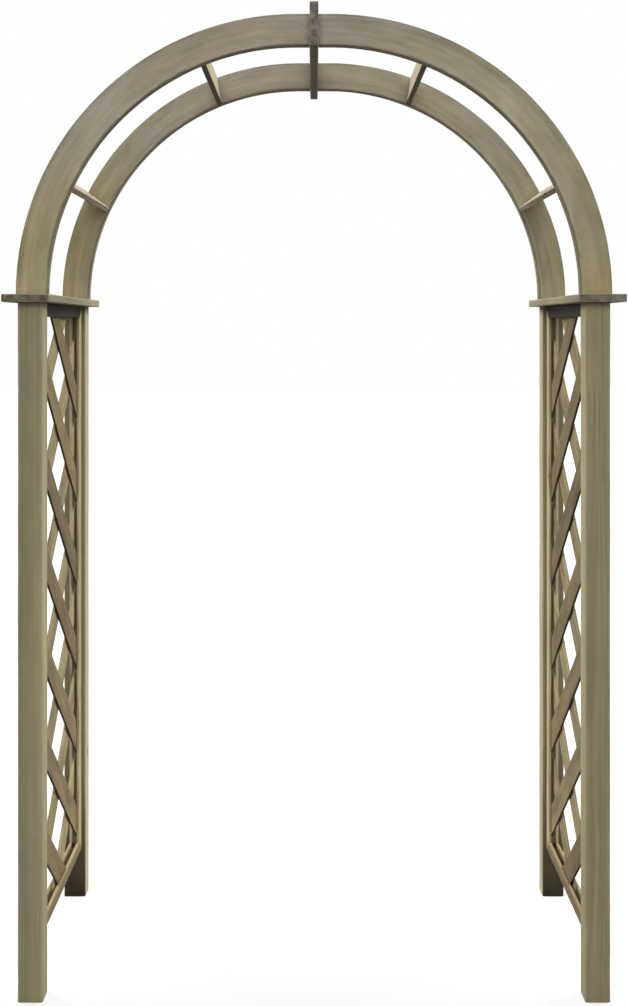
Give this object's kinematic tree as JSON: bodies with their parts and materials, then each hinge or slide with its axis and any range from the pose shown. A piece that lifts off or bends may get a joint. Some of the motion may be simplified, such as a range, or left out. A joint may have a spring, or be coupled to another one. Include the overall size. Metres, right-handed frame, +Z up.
{
  "type": "garden arch",
  "caption": "Timber garden arch: square posts, lattice side panels, shelf boards and a round double arch joined by cross slats and a ridge board, for walking through and training climbers.",
  "frame": {"origin": "on the ground at the middle of the four post feet", "axes": "+X across the path to the right as seen from the front, +Y along the path to the back, +Z up"},
  "size_m": [1.354, 0.684, 2.184],
  "materials": {
    "post_timber": "weathered impregnated pine",
    "arch_timber": "weathered impregnated pine",
    "board_timber": "weathered impregnated pine",
    "slat_timber": "weathered impregnated pine",
    "panel_timber": "weathered impregnated pine",
    "lattice_timber": "weathered impregnated pine",
    "dowel_timber": "plain beech",
    "zinc_steel": "zinc plated"
  },
  "bodies": {
    "root": {"cross_slat_dowels": "dowel_timber", "crown_dowels": "dowel_timber", "foot_dowels": "dowel_timber", "front_left_arch_half": "arch_timber", "front_left_post": "post_timber", "front_left_stile": "panel_timber", "front_right_arch_half": "arch_timber", "front_right_post": "post_timber", "front_right_stile": "panel_timber", "lattice_brads": "zinc_steel", "left_bottom_rail": "panel_timber", "left_inner_lattice_slat_above_1": "lattice_timber", "left_inner_lattice_slat_above_2": "lattice_timber", "left_inner_lattice_slat_above_3": "lattice_timber", "left_inner_lattice_slat_below_1": "lattice_timber", "left_inner_lattice_slat_below_2": "lattice_timber", "left_inner_lattice_slat_below_3": "lattice_timber", "left_inner_lattice_slat_middle": "lattice_timber", "left_lower_cross_slat": "slat_timber", "left_outer_lattice_slat_above_1": "lattice_timber", "left_outer_lattice_slat_above_2": "lattice_timber", "left_outer_lattice_slat_above_3": "lattice_timber", "left_outer_lattice_slat_below_1": "lattice_timber", "left_outer_lattice_slat_below_2": "lattice_timber", "left_outer_lattice_slat_below_3": "lattice_timber", "left_outer_lattice_slat_middle": "lattice_timber", "left_shelf_board": "board_timber", "left_top_rail": "panel_timber", "left_upper_cross_slat": "slat_timber", "mitre_dowels": "dowel_timber", "panel_screws": "zinc_steel", "rear_left_arch_half": "arch_timber", "rear_left_post": "post_timber", "rear_left_stile": "panel_timber", "rear_right_arch_half": "arch_timber", "rear_right_post": "post_timber", "rear_right_stile": "panel_timber", "ridge_board": "board_timber", "right_bottom_rail": "panel_timber", "right_inner_lattice_slat_above_1": "lattice_timber", "right_inner_lattice_slat_above_2": "lattice_timber", "right_inner_lattice_slat_above_3": "lattice_timber", "right_inner_lattice_slat_below_1": "lattice_timber", "right_inner_lattice_slat_below_2": "lattice_timber", "right_inner_lattice_slat_below_3": "lattice_timber", "right_inner_lattice_slat_middle": "lattice_timber", "right_lower_cross_slat": "slat_timber", "right_outer_lattice_slat_above_1": "lattice_timber", "right_outer_lattice_slat_above_2": "lattice_timber", "right_outer_lattice_slat_above_3": "lattice_timber", "right_outer_lattice_slat_below_1": "lattice_timber", "right_outer_lattice_slat_below_2": "lattice_timber", "right_outer_lattice_slat_below_3": "lattice_timber", "right_outer_lattice_slat_middle": "lattice_timber", "right_shelf_board": "board_timber", "right_top_rail": "panel_timber", "right_upper_cross_slat": "slat_timber"}
  },
  "joints": []
}
